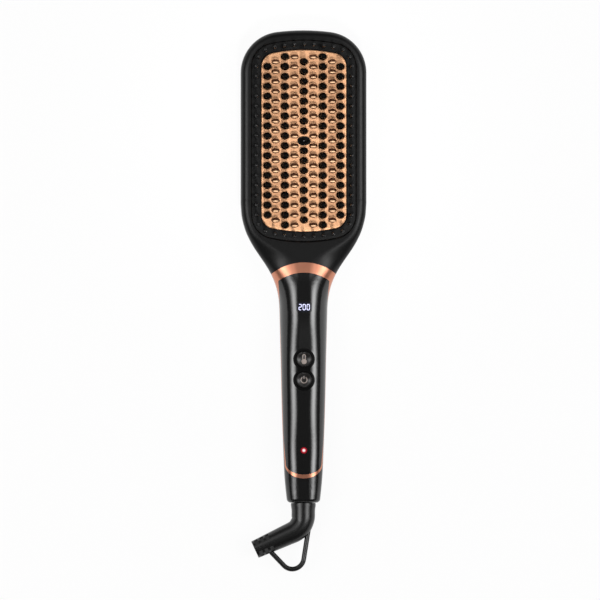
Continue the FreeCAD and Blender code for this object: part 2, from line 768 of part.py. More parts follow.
def make_retainer_screws():
    screws = []
    for x, y in retainer_screw_places():
        head = post(x, y, RETAINER_SCREW_HEAD_R, RETAINER_LOW_Z - RETAINER_SCREW_HEAD_H, RETAINER_LOW_Z)
        screws.append(joined([head, post(x, y, RETAINER_SCREW_R, RETAINER_LOW_Z, RETAINER_SCREW_TIP_Z)]))
    return Part.makeCompound(screws)


def make_insulation_sheet():
    sheet = prism(plate_outline(SHEET_GROW), SHEET_LOW_Z, RETAINER_LOW_Z)
    return sheet.cut(post(0, PLATE_Y, NEEDLE_CLEAR_R, 0, FAR))


def make_thermal_fuse():
    x, y = FUSE_PLACE
    return Part.makeCylinder(FUSE_R, FUSE_L, Vector(x, y - FUSE_L / 2, SHEET_LOW_Z - FUSE_R), Vector(0, 1, 0))


def make_thermistor():
    return block(THERMISTOR_X, PLATE_Y, THERMISTOR_SIZE, HEATER_LOW_Z, PLATE_LOW_Z)


# Ion generator

def make_ion_outlet():
    flange = oval_post(OUTLET_FLANGE_SIZE, OUTLET_FLANGE_Z, PLATE_LOW_Z)
    body = oval_post(OUTLET_SIZE, PLATE_LOW_Z, OUTLET_TOP_Z)
    mouth = oval_post(OUTLET_MOUTH_SIZE, OUTLET_FLOOR_Z, FAR)
    return joined([flange, body]).cut(mouth).cut(post(0, PLATE_Y, NEEDLE_R, 0, FAR))


def make_ion_needle():
    return post(0, PLATE_Y, NEEDLE_R, NEEDLE_LOW_Z, NEEDLE_TOP_Z)


def make_ion_module():
    return block(0, ION_MODULE_Y, ION_MODULE_SIZE, ION_MODULE_LOW_Z, ION_MODULE_TOP_Z)


# Controls

def window_prism():
    solid = block(0, WINDOW_Y, WINDOW_SIZE, 0, FAR)
    upright = [edge for edge in solid.Edges if edge.BoundBox.ZLength > WALL]
    return solid.makeFillet(WINDOW_CORNER_R, upright)


def bezel_prism(grow):
    """Figure of eight round both buttons."""
    waist = block(0, (MODE_Y + POWER_Y) / 2, (BEZEL_WAIST + 2 * grow, MODE_Y - POWER_Y), BEZEL_LOW_Z, FAR)
    rounds = [post(0, y, BEZEL_R + grow, BEZEL_LOW_Z, FAR) for y in [MODE_Y, POWER_Y]]
    return joined([waist] + rounds)


def make_display_window():
    return skin.common(window_prism()).common(block(0, WINDOW_Y, WINDOW_SIZE, PANEL_EDGE_Z, FAR))


def make_button_bezel():
    body = bezel_prism(0).common(moved(outer_form, 0, 0, -BEZEL_SINK))
    flange = bezel_prism(BEZEL_FLANGE).common(inner_form)
    holes = [post(0, y, BEZEL_HOLE_R, 0, FAR) for y in [MODE_Y, POWER_Y]]
    return joined([body, flange]).cut(Part.makeCompound(holes))


def make_button(y):
    """Dished cap with a flange under the bezel and a stem that reaches its switch."""
    cap = post(0, y, CAP_R, CAP_FLANGE_LOW_Z, FAR).common(moved(outer_form, 0, 0, CAP_PROUD))
    dish_z = surface_z(y, 1.0) + CAP_PROUD - CAP_DISH + CAP_DISH_R
    cap = cap.cut(Part.makeSphere(CAP_DISH_R, Vector(0, y, dish_z)))
    flange = post(0, y, CAP_FLANGE_R, CAP_FLANGE_LOW_Z, CAP_FLANGE_TOP_Z)
    return joined([cap, flange, post(0, y, STEM_R, STEM_LOW_Z, CAP_FLANGE_LOW_Z)])


def make_indicator_lens():
    low_z = surface_z(INDICATOR_Y, 1.0) - INDICATOR_H
    return post(0, INDICATOR_Y, INDICATOR_R, low_z, FAR).common(moved(outer_form, 0, 0, INDICATOR_PROUD))


# Electronics in the handle

def board(half_w, span, z_low):
    y_low, y_high = span
    return block(0, (y_low + y_high) / 2, (2 * half_w, y_high - y_low), z_low, z_low + BOARD_H)


def make_switch(y):
    body = block(0, y, (SWITCH_W, SWITCH_W), CONTROL_TOP_Z, CONTROL_TOP_Z + SWITCH_H)
    return body.cut(post(0, y, SWITCH_WELL_R, SWITCH_WELL_Z, FAR))


def lead(points):
    return tube(points, LEAD_R, LEAD_BEND_R)


def lead_pair(points):
    return Part.makeCompound([lead([(side * x, y, z) for x, y, z in points]) for side in SIDES])


# Swivel and boot

def make_swivel_core():
    neck = rod_along(SWIVEL_Z, SWIVEL_NECK_R, SWIVEL_SPIGOT_Y, SWIVEL_FLANGE_Y[0])
    flange = rod_along(SWIVEL_Z, SWIVEL_FLANGE_R, *SWIVEL_FLANGE_Y)
    shaft = rod_along(SWIVEL_Z, SWIVEL_SHAFT_R, SWIVEL_FLANGE_Y[1], SWIVEL_SHAFT_Y)
    return joined([neck, flange, shaft])


def make_slip_rings():
    rings = []
    for y in SLIP_RING_Y:
        ends = (y - SLIP_RING_L / 2, y + SLIP_RING_L / 2)
        rings.append(rod_along(SWIVEL_Z, SLIP_RING_R, *ends).cut(rod_along(SWIVEL_Z, SWIVEL_SHAFT_R, *ends)))
    return Part.makeCompound(rings)


def make_contact_block():
    y_low, y_high = CONTACT_BLOCK_Y
    size = (2 * CONTACT_BLOCK_HALF_W, y_high - y_low)
    return block(0, (y_low + y_high) / 2, size, 0, CONTACT_BLOCK_TOP_Z).common(inner_form)


def make_brush_contacts():
    top_z = SWIVEL_Z - SLIP_RING_R - CONTACT_CLEAR
    size = (CONTACT_W, CONTACT_W)
    return Part.makeCompound([block(0, y, size, CONTACT_BLOCK_TOP_Z, top_z) for y in SLIP_RING_Y])


def boot_length():
    bend = math.radians(BOOT_TURN)
    reach = BOOT_BEND_R * math.tan(bend / 2)
    return BOOT_START_Y - BOOT_CORNER_Y - reach + BOOT_BEND_R * bend + BOOT_RUN - reach


def boot_place(distance):
    """Point of the boot's centre line at a distance from its start, and how far the line has turned there."""
    bend = math.radians(BOOT_TURN)
    straight = BOOT_START_Y - BOOT_CORNER_Y - BOOT_BEND_R * math.tan(bend / 2)
    turned = min(max(distance - straight, 0) / BOOT_BEND_R, bend)
    before = min(distance, straight)
    after = max(distance - straight - BOOT_BEND_R * bend, 0)
    x = -BOOT_BEND_R * (1 - math.cos(turned)) - after * math.sin(turned)
    y = BOOT_START_Y - before - BOOT_BEND_R * math.sin(turned) - after * math.cos(turned)
    return Vector(x, y, SWIVEL_Z), turned


def boot_radius(distance):
    return mix(BOOT_START_R, BOOT_END_R, distance / boot_length())


def along_boot(shape, distance):
    """Shape drawn at the origin with its length down -Y, set on the boot's centre line."""
    point, turned = boot_place(distance)
    placed = shape.copy()
    placed.rotate(Vector(0, 0, 0), Vector(0, 0, 1), -math.degrees(turned))
    placed.translate(point)
    return placed


def boot_slot(distance, angle):
    """Short slot across the boot, turned about its centre line, that lets the end flex."""
    slot = block(0, -SLOT_SIZE[1] / 2, SLOT_SIZE, boot_radius(distance) - SLOT_DEPTH, 2 * BOOT_START_R)
    slot.rotate(Vector(0, 0, 0), Vector(0, 1, 0), angle)
    return along_boot(slot, distance)


def make_cord_boot():
    length = boot_length()
    circles = []
    for index in range(BOOT_STATIONS):
        distance = length * index / (BOOT_STATIONS - 1)
        circle = Part.Wire(Part.makeCircle(boot_radius(distance), Vector(0, 0, 0), Vector(0, -1, 0)))
        circles.append(along_boot(circle, distance))
    boot = Part.makeLoft(circles, True, False)
    boot = boot.cut(rod_along(SWIVEL_Z, SWIVEL_NECK_R, SWIVEL_SPIGOT_Y, TAIL_Y))
    bore = Part.makeCylinder(BOOT_BORE_R, BOOT_BORE_L + WALL, Vector(0, 0, 0), Vector(0, -1, 0))
    boot = boot.cut(along_boot(bore, length - BOOT_BORE_L))
    slots = []
    for index in range(SLOT_COUNT):
        distance = length - SLOT_FIRST - SLOT_SIZE[1] - index * SLOT_PITCH
        slots += [boot_slot(distance, angle) for angle in SLOT_ANGLES]
    return boot.cut(Part.makeCompound(slots)).cut(make_hang_loop())


def make_hang_loop():
    return tube(LOOP_POINTS, LOOP_R, LOOP_BEND_R)


# All the pieces

nodes = {
    "back_shell": make_back_shell(),
    "front_shell": make_front_shell(),
    "trim_frame": make_trim_frame(),
    "control_panel": make_control_panel(),
    "case_screws": make_case_screws(),
    "heating_plate": make_heating_plate(),
    "heater_pads": make_heater_pads(),
    "retainer_plate": make_retainer_plate(),
    "retainer_screws": make_retainer_screws(),
    "insulation_sheet": make_insulation_sheet(),
    "thermal_fuse": make_thermal_fuse(),
    "thermistor": make_thermistor(),
    "ion_outlet": make_ion_outlet(),
    "ion_needle": make_ion_needle(),
    "ion_module": make_ion_module(),
    "ion_lead": lead(ION_LEAD_POINTS),
    "display_window": make_display_window(),
    "button_bezel": make_button_bezel(),
    "mode_button": make_button(MODE_Y),
    "power_button": make_button(POWER_Y),
    "indicator_lens": make_indicator_lens(),
    "control_board": board(CONTROL_BOARD_HALF_W, CONTROL_BOARD_Y, CONTROL_BOARD_Z),
    "digit_display": block(0, WINDOW_Y, DISPLAY_SIZE, CONTROL_TOP_Z, DISPLAY_TOP_Z),
    "mode_switch": make_switch(MODE_Y),
    "power_switch": make_switch(POWER_Y),
    "indicator_led": block(0, INDICATOR_Y, (LED_W, LED_W), CONTROL_TOP_Z, CONTROL_TOP_Z + LED_H),
    "power_board": board(POWER_BOARD_HALF_W, POWER_BOARD_Y, POWER_BOARD_Z),
    "mains_capacitor": block(0, CAPACITOR_Y, CAPACITOR_SIZE, POWER_TOP_Z, POWER_TOP_Z + CAPACITOR_H),
    "triac": block(0, TRIAC_Y, TRIAC_SIZE, POWER_TOP_Z, POWER_TOP_Z + TRIAC_H),
    "heater_leads": lead_pair(HEATER_LEAD_POINTS),
    "mains_leads": lead_pair(MAINS_LEAD_POINTS),
    "swivel_core": make_swivel_core(),
    "slip_rings": make_slip_rings(),
    "contact_block": make_contact_block(),
    "brush_contacts": make_brush_contacts(),
    "cord_boot": make_cord_boot(),
    "hang_loop": make_hang_loop(),
}
nodes.update(make_guard_combs())
for number, (x, last_row) in enumerate(zip(STRIP_X, STRIP_LAST_ROW), start=1):
    nodes[f"bristle_strip_{number}"] = make_bristle_strip(x, last_row)
for number, place in enumerate(heater_places(), start=1):
    nodes[f"ptc_heater_{number}"] = heater_block(place, HEATER_LOW_Z, PLATE_LOW_Z)

os.makedirs("parts", exist_ok=True)
for name, shape in nodes.items():
    shape.exportStep(f"parts/{name}.step")
    size = shape.BoundBox
    print(f"{name}: {len(shape.Solids)} solids, valid {shape.isValid()}, {shape.Volume:.0f} mm3,"
          f" {size.XLength:.1f} x {size.YLength:.1f} x {size.ZLength:.1f}")
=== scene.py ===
import math

import bpy
from mathutils import Matrix, Vector


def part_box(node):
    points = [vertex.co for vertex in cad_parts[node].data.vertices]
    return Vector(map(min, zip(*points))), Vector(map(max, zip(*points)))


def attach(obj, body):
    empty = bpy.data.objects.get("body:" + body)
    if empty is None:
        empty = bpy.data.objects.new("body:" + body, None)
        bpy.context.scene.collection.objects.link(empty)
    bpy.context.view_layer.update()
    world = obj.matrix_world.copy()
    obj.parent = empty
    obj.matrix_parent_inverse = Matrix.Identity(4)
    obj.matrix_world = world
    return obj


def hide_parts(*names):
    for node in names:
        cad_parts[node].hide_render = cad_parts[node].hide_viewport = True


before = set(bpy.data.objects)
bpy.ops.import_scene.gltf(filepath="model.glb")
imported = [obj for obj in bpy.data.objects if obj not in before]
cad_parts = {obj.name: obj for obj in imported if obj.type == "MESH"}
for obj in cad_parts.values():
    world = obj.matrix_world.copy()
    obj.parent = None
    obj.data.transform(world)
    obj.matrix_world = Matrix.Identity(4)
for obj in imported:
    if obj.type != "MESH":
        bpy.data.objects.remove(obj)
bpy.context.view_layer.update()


# Back shell: the half that lies in the hand, with the tail end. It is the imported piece, moulded in black ABS.
# Its satin skin shows soft long reflections, a little uneven from the mould's fine grain.
BACK_DARK = "080808"
BACK_PALE = "0D0D0D"
BACK_ROUGHNESS = 0.2
BACK_GLOSS = 0.6
BACK_GRAIN = 0.00025
BACK_RELIEF = 0.000003


def linear(hex_code):
    """Linear colour of an sRGB hex code."""
    channels = [int(hex_code[start:start + 2], 16) / 255 for start in (0, 2, 4)]
    straight = [value / 12.92 if value <= 0.04045 else ((value + 0.055) / 1.055) ** 2.4 for value in channels]
    return straight + [1.0]


def new_material(name):
    """New material, its node tree and its main shader."""
    material = bpy.data.materials.new(name)
    material.use_nodes = True
    return material, material.node_tree, material.node_tree.nodes["Principled BSDF"]


def add_node(tree, kind, values=None, links=None, **settings):
    """New node with its settings, its fixed inputs and the outputs that feed its other inputs."""
    node = tree.nodes.new(kind)
    for name, value in settings.items():
        setattr(node, name, value)
    for socket, value in (values or {}).items():
        node.inputs[socket].default_value = value
    for socket, source in (links or {}).items():
        tree.links.new(source, node.inputs[socket])
    return node


def grained_material(name, dark, pale, roughness, grain, relief, metallic=0.0, gloss=0.5):
    """Material whose grain, of a real size, shifts it between two colours and raises it by a real height."""
    material, tree, shader = new_material(name)
    place = add_node(tree, "ShaderNodeTexCoord")
    values = {"Scale": 1 / grain, "Detail": 3.0}
    noise = add_node(tree, "ShaderNodeTexNoise", values, {"Vector": place.outputs["Object"]})
    colours = {"Color1": linear(dark), "Color2": linear(pale)}
    tint = add_node(tree, "ShaderNodeMixRGB", colours, {"Fac": noise.outputs["Fac"]})
    bump = add_node(tree, "ShaderNodeBump", {"Distance": relief}, {"Height": noise.outputs["Fac"]})
    tree.links.new(tint.outputs["Color"], shader.inputs["Base Color"])
    tree.links.new(bump.outputs["Normal"], shader.inputs["Normal"])
    shader.inputs["Roughness"].default_value = roughness
    shader.inputs["Metallic"].default_value = metallic
    shader.inputs["Specular IOR Level"].default_value = gloss
    return material


def dress(names, material):
    """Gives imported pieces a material."""
    for name in names:
        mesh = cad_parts[name].data
        mesh.materials.clear()
        mesh.materials.append(material)


back_satin = grained_material("Satin black shell ABS", BACK_DARK, BACK_PALE, BACK_ROUGHNESS, BACK_GRAIN,
                              BACK_RELIEF, gloss=BACK_GLOSS)
dress(["back_shell"], back_satin)


# Pieces inside the casing: boards, heaters and their clamp, leads and contacts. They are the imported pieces,
# each in the stuff it is made of: colours, roughness, grain size, grain height and whether it is metal.
INNER_FINISHES = [
    ("Stainless sheet", "8E8F92", "A6A7AA", 0.32, 0.0006, 0.000004, 1.0,
     ["retainer_plate", "thermal_fuse", "ion_needle"]),
    ("Zinc plated screw steel", "86878B", "A2A3A7", 0.38, 0.0005, 0.000004, 1.0, ["retainer_screws"]),
    ("Brass", "B08A3C", "CDA755", 0.3, 0.0005, 0.000003, 1.0, ["slip_rings", "brush_contacts"]),
    ("Silicone foam", "A9A8A2", "C2C1BB", 0.8, 0.0004, 0.00005, 0.0, ["heater_pads"]),
    ("Pressed mica", "B3A98A", "CFC7AB", 0.55, 0.0012, 0.00002, 0.0, ["insulation_sheet"]),
    ("Heater ceramic in film", "5A4A2C", "7A6438", 0.35, 0.0008, 0.000006, 0.0,
     ["ptc_heater_1", "ptc_heater_2", "ptc_heater_3", "ptc_heater_4"]),
    ("Moulded epoxy", "2A2A2C", "37373A", 0.6, 0.0003, 0.00001, 0.0,
     ["thermistor", "ion_module", "mode_switch", "power_switch", "mains_capacitor", "triac"]),
    ("Board with solder mask", "0E3F22", "16532F", 0.4, 0.0015, 0.00001, 0.0,
     ["control_board", "power_board"]),
    ("Display body", "191A1C", "222326", 0.5, 0.0003, 0.00001, 0.0, ["digit_display"]),
    ("Lamp epoxy", "7C1015", "981A1F", 0.2, 0.0006, 0.000002, 0.0, ["indicator_led"]),
    ("Silicone lead", "7A1418", "8E2024", 0.55, 0.0004, 0.000006, 0.0,
     ["heater_leads", "mains_leads", "ion_lead"]),
    ("Nylon", "151516", "1E1E20", 0.5, 0.0004, 0.000008, 0.0, ["swivel_core", "contact_block"]),
]
for name, dark, pale, roughness, grain, relief, metallic, pieces in INNER_FINISHES:
    dress(pieces, grained_material(name, dark, pale, roughness, grain, relief, metallic))


# Case screws: three zinc plated screws sunk in the back shell, cool grey with a faint mottle.
# Each is turned, its head gets a cross recess cut with two blades, and it is moved to its boss.
SCREW_TIPS = [0.018, 0.018, 0.015]
SCREW_PLACES = [(-0.0135, 0.028), (0.0135, 0.028), (0.0, -0.1006)]
SCREW_DARK = "77787C"
SCREW_PALE = "97989C"
SCREW_ROUGHNESS = 0.36
SCREW_MOTTLE = 0.0005
SCREW_RELIEF = 0.000004
SCREW_HEAD = 0.0024
SCREW_EDGE = 0.0003
SCREW_LOW = 0.0009
SCREW_SHOULDER = 0.0035
SCREW_SHANK = 0.0012
RECESS_LENGTH = 0.0028
RECESS_WIDTH = 0.0006
RECESS_DEPTH = 0.0012
ROUND_STEPS = 48
SEED_SIZE = 0.001
SMOOTH_ANGLE = math.radians(35)
MERGE_DISTANCE = 0.000001


def start_mesh(name):
    """Names the piece that has just been made, and its mesh."""
    piece = bpy.context.object
    piece.name = name
    piece.data.name = name
    return piece


def turned_piece(name, centre, profile):
    """Lathe piece: its profile, radius and height pairs, is drawn as a chain of edges and spun."""
    bpy.ops.object.select_all(action="DESELECT")
    first_radius, first_height = profile[0]
    bpy.ops.mesh.primitive_plane_add(size=SEED_SIZE, location=(0, 0, 0))
    piece = start_mesh(name)
    bpy.ops.object.mode_set(mode="EDIT")
    bpy.ops.mesh.merge(type="CENTER")
    bpy.ops.transform.translate(value=(first_radius, 0, first_height))
    for before, after in zip(profile, profile[1:]):
        step = (after[0] - before[0], 0, after[1] - before[1])
        bpy.ops.mesh.extrude_region_move(TRANSFORM_OT_translate={"value": step})
    bpy.ops.mesh.select_all(action="SELECT")
    bpy.ops.mesh.spin(steps=ROUND_STEPS, angle=math.tau, center=(0, 0, 0), axis=(0, 0, 1))
    bpy.ops.mesh.select_all(action="SELECT")
    bpy.ops.mesh.remove_doubles(threshold=MERGE_DISTANCE)
    bpy.ops.mesh.normals_make_consistent(inside=False)
    bpy.ops.transform.translate(value=centre)
    bpy.ops.object.mode_set(mode="OBJECT")
    bpy.ops.object.shade_smooth_by_angle(angle=SMOOTH_ANGLE)
    return piece


def copy_of(piece, name, place, turn=0.0):
    """Copy with a mesh of its own, turned about the upright axis and moved to its place."""
    copy = piece.copy()
    copy.data = piece.data.copy()
    copy.name = name
    copy.data.name = name
    bpy.context.collection.objects.link(copy)
    copy.data.transform(Matrix.Translation(place) @ Matrix.Rotation(turn, 4, "Z"))
    return copy


def cut_away(piece, tool):
    """Cuts a tool's volume out of a piece and throws the tool away."""
    cut = piece.modifiers.new("cut", "BOOLEAN")
    cut.object = tool
    cut.operation = "DIFFERENCE"
    cut.solver = "EXACT"
    bpy.ops.object.select_all(action="DESELECT")
    piece.select_set(True)
    bpy.context.view_layer.objects.active = piece
    bpy.ops.object.modifier_apply(modifier="cut")
    bpy.data.objects.remove(tool)


screw_metal = grained_material("Zinc plated steel", SCREW_DARK, SCREW_PALE, SCREW_ROUGHNESS, SCREW_MOTTLE,
                               SCREW_RELIEF, metallic=1.0)
for number, ((x, y), tip) in enumerate(zip(SCREW_PLACES, SCREW_TIPS), start=1):
    profile = [
        (0.0, SCREW_LOW),
        (SCREW_HEAD - SCREW_EDGE, SCREW_LOW),
        (SCREW_HEAD, SCREW_LOW + SCREW_EDGE),
        (SCREW_HEAD, SCREW_SHOULDER),
        (SCREW_SHANK, SCREW_SHOULDER),
        (SCREW_SHANK, tip - SCREW_SHANK),
        (0.0, tip),
    ]
    screw = turned_piece(f"case_screw_{number}", (0, 0, 0), profile)
    for size in [(RECESS_LENGTH, RECESS_WIDTH), (RECESS_WIDTH, RECESS_LENGTH)]:
        bpy.ops.object.select_all(action="DESELECT")
        bpy.ops.mesh.primitive_cube_add(size=1, location=(0, 0, SCREW_LOW))
        blade = start_mesh("recess_blade")
        blade.scale = (*size, 2 * RECESS_DEPTH)
        bpy.ops.object.transform_apply(location=True, scale=True)
        cut_away(screw, blade)
    screw.data.transform(Matrix.Translation((x, y, 0)))
    screw.data.materials.append(screw_metal)
    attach(screw, "case")
    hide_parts("case_screws")


# Bristle strips and the comb round the plate: black nylon mouldings, each a bar with rounded bristles.
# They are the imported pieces, clamped under the plate by the retainer. The strips take the heat and are of a
# dull filled nylon that hardly reflects; the comb is plain nylon, whose satin tips catch the light.
BRISTLE_DARK = "030303"
BRISTLE_PALE = "080808"
BRISTLE_ROUGHNESS = 0.6
BRISTLE_GLOSS = 0.05
BRISTLE_GRAIN = 0.0004
BRISTLE_RELIEF = 0.000004
nylon = grained_material("Black filled nylon", BRISTLE_DARK, BRISTLE_PALE, BRISTLE_ROUGHNESS, BRISTLE_GRAIN,
                         BRISTLE_RELIEF, gloss=BRISTLE_GLOSS)
dress([f"bristle_strip_{number}" for number in range(1, 6)], nylon)

COMB_DARK = "060606"
COMB_PALE = "0A0A0A"
COMB_ROUGHNESS = 0.3
COMB_GLOSS = 0.4
comb_nylon = grained_material("Black satin nylon", COMB_DARK, COMB_PALE, COMB_ROUGHNESS, BRISTLE_GRAIN,
                              BRISTLE_RELIEF, gloss=COMB_GLOSS)
dress([f"guard_comb_{side}" for side in ("left", "right", "head", "neck")], comb_nylon)


# Heating plate: die-cast aluminium with oval teeth, holes for the bristles and a rose gold ceramic coat.
# It is the imported piece; the coat's faint sparkle and orange peel are shading. The steep flanks of the teeth
# and the walls of the holes are painted a dark brown shade by how steeply they face; the tips get a paler
# painted highlight.
PLATE_DARK = "E7AC7F"
PLATE_PALE = "EEB88C"
PLATE_ROUGHNESS = 0.5
PLATE_METAL = 0.6
PEEL_SIZE = 0.0009
PEEL_RELIEF = 0.00001
# Painted shade: dark brown laid on the steep flanks of the teeth and the walls of the holes
FLANK_SHADE_COLOUR = "5A2A12"
FLANK_STEEP = 0.25
FLANK_FLAT = 0.75
# Painted highlight: a paler colour on the tips of the teeth, above a set height
TIP_HIGHLIGHT_COLOUR = "FCCDA2"
TIP_LOW = 0.0264
TIP_HIGH = 0.0273
plate_coat = grained_material(
    "Rose gold ceramic coat", PLATE_DARK, PLATE_PALE, PLATE_ROUGHNESS, PEEL_SIZE, PEEL_RELIEF, PLATE_METAL)
tree = plate_coat.node_tree
shader = tree.nodes["Principled BSDF"]
coat_colour = shader.inputs["Base Color"].links[0].from_socket
place = add_node(tree, "ShaderNodeTexCoord")
facing = add_node(tree, "ShaderNodeSeparateXYZ", None, {"Vector": place.outputs["Normal"]})
# How flat each face is: steep faces take the full painted shade, flat faces none
unshaded_share = add_node(tree, "ShaderNodeMapRange", {"From Min": FLANK_STEEP, "From Max": FLANK_FLAT},
                   {"Value": facing.outputs["Z"]})
height = add_node(tree, "ShaderNodeSeparateXYZ", None, {"Vector": place.outputs["Object"]})
# Height band over which the painted highlight on the tips fades in
tip_highlight_rise = add_node(tree, "ShaderNodeMapRange", {"From Min": TIP_LOW, "From Max": TIP_HIGH},
                  {"Value": height.outputs["Z"]})
# Tips of the teeth with the painted highlight mixed in
tip_highlighted = add_node(tree, "ShaderNodeMixRGB", {"Color2": linear(TIP_HIGHLIGHT_COLOUR)},
                  {"Fac": tip_highlight_rise.outputs["Result"], "Color1": coat_colour})
# Painted shade laid over the steep flanks and hole walls
flank_shaded = add_node(tree, "ShaderNodeMixRGB", {"Color1": linear(FLANK_SHADE_COLOUR)},
                   {"Fac": unshaded_share.outputs["Result"], "Color2": tip_highlighted.outputs["Color"]})
tree.links.new(flank_shaded.outputs["Color"], shader.inputs["Base Color"])
dress(["heating_plate"], plate_coat)


# Ion outlet: a black oval nozzle in the middle of the plate, with the needle down in its mouth.
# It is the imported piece, moulded in a heat-proof nylon that looks dull and nearly black.
OUTLET_DARK = "040404"
OUTLET_PALE = "080808"
OUTLET_ROUGHNESS = 0.45
OUTLET_GLOSS = 0.1
OUTLET_GRAIN = 0.0003
OUTLET_RELIEF = 0.000005
outlet_nylon = grained_material("Heat-proof nylon", OUTLET_DARK, OUTLET_PALE, OUTLET_ROUGHNESS, OUTLET_GRAIN,
                                OUTLET_RELIEF, gloss=OUTLET_GLOSS)
dress(["ion_outlet"], outlet_nylon)


# Front shell: the black frame round the bristles and the neck, screwed to the back shell from behind.
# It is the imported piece, moulded in ABS and sprayed with a matte soft-touch coat that spreads reflections.
COAT_DARK = "080808"
COAT_PALE = "0E0E0E"
COAT_ROUGHNESS = 0.34
COAT_GLOSS = 0.24
COAT_GRAIN = 0.00025
COAT_RELIEF = 0.000008
coat = grained_material("Soft-touch coat", COAT_DARK, COAT_PALE, COAT_ROUGHNESS, COAT_GRAIN, COAT_RELIEF,
                        gloss=COAT_GLOSS)
dress(["front_shell"], coat)


# Trim frame: rose gold band at the neck, thin lines down both sides and a thin curved band at the tail.
# It is one imported moulding with a vacuum metallised skin, so it shines like metal with a faint unevenness.
TRIM_DARK = "CB866B"
TRIM_PALE = "D39277"
TRIM_ROUGHNESS = 0.32
TRIM_WAVE = 0.004
TRIM_RELIEF = 0.000008
rose_gold = grained_material("Vacuum metallised rose gold", TRIM_DARK, TRIM_PALE, TRIM_ROUGHNESS, TRIM_WAVE,
                             TRIM_RELIEF, metallic=1.0)
dress(["trim_frame"], rose_gold)


# Control panel: the semi-gloss black cover of the handle, clipped inside the trim.
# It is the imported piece; a very fine grain softens its two long reflections.
PANEL_DARK = "080808"
PANEL_PALE = "0C0C0C"
PANEL_ROUGHNESS = 0.16
PANEL_GLOSS = 0.7
PANEL_GRAIN = 0.00015
PANEL_RELIEF = 0.000001
panel_gloss = grained_material("Semi-gloss black ABS", PANEL_DARK, PANEL_PALE, PANEL_ROUGHNESS, PANEL_GRAIN,
                               PANEL_RELIEF, gloss=PANEL_GLOSS)
dress(["control_panel"], panel_gloss)


# Display: a smoked window flush with the panel, and the lit seven-segment digits that shine through it.
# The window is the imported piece, dark acrylic with a faint blue halo round the digits. The digits are built
# of pointed bars, joined, laid on the window's curve and lit a cold white.
WINDOW_Y = -0.0036
DIGIT_HEIGHT = 0.0038
DIGIT_WIDTH = 0.0019
DIGIT_PITCH = 0.00245
BAR_WIDTH = 0.00046
BAR_GAP = 0.00008
BAR_SIDES = 6
DRAPE_CUTS = 2
DROP_HEIGHT = 0.001
DIGIT_LIFT = 0.00002
DIGIT_FILM = 0.00002
DIGIT_GLOW = 1.0
DIGIT_COLOUR = "B4B6E4"
DIGIT_ROUGHNESS = 0.4
WINDOW_COLOUR = "06070A"
WINDOW_ROUGHNESS = 0.24
HALO_GLOW = 1.0
HALO_COLOUR = "0A1230"
HALO_WIDTH = 0.011
HALO_HEIGHT = 0.0075
LIT_BARS = {"2": "ABGED", "0": "ABCDEF"}
SHOWN_NUMBER = "200"


def choose(test):
    """Goes to edit mode with those of the active mesh's vertices selected whose place passes a test."""
    bpy.ops.object.mode_set(mode="EDIT")
    bpy.ops.mesh.select_mode(type="VERT")
    bpy.ops.mesh.select_all(action="DESELECT")
    bpy.ops.object.mode_set(mode="OBJECT")
    for vertex in bpy.context.object.data.vertices:
        vertex.select = test(vertex.co)
    bpy.ops.object.mode_set(mode="EDIT")


def pointed_bar(name, length):
    """Flat bar along Y with pointed ends: a six-sided disc pulled apart."""
    bpy.ops.object.select_all(action="DESELECT")
    bpy.ops.mesh.primitive_circle_add(vertices=BAR_SIDES, radius=BAR_WIDTH / 2, fill_type="NGON",
                                      location=(0, 0, 0))
    bar = start_mesh(name)
    pull = (length - BAR_WIDTH) / 2
    for side in (-1, 1):
        choose(lambda place: place.y * side > 0)
        bpy.ops.transform.translate(value=(0, side * pull, 0))
        bpy.ops.object.mode_set(mode="OBJECT")
    return bar


def joined_piece(name, pieces):
    """Joins pieces into one."""
    bpy.ops.object.select_all(action="DESELECT")
    for piece in pieces:
        piece.select_set(True)
    bpy.context.view_layer.objects.active = pieces[0]
    bpy.ops.object.join()
    return start_mesh(name)


def laid_on(piece, node, lift, film):
    """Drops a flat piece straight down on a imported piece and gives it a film's thickness."""
    bpy.ops.object.select_all(action="DESELECT")
    piece.select_set(True)
    bpy.context.view_layer.objects.active = piece
    bpy.ops.object.mode_set(mode="EDIT")
    bpy.ops.mesh.select_all(action="SELECT")
    bpy.ops.mesh.quads_convert_to_tris()
    bpy.ops.mesh.subdivide(number_cuts=DRAPE_CUTS)
    bpy.ops.object.mode_set(mode="OBJECT")
    drop = piece.modifiers.new("drop", "SHRINKWRAP")
    drop.target = node
    drop.wrap_method = "PROJECT"
    drop.use_project_z = True
    drop.use_negative_direction = True
    drop.use_positive_direction = False
    drop.offset = lift
    bpy.ops.object.modifier_apply(modifier="drop")
    skin = piece.modifiers.new("skin", "SOLIDIFY")
    skin.thickness = film
    skin.offset = 1.0
    bpy.ops.object.modifier_apply(modifier="skin")
    bpy.ops.object.mode_set(mode="EDIT")
    bpy.ops.mesh.select_all(action="SELECT")
    bpy.ops.mesh.normals_make_consistent(inside=False)
    bpy.ops.object.mode_set(mode="OBJECT")


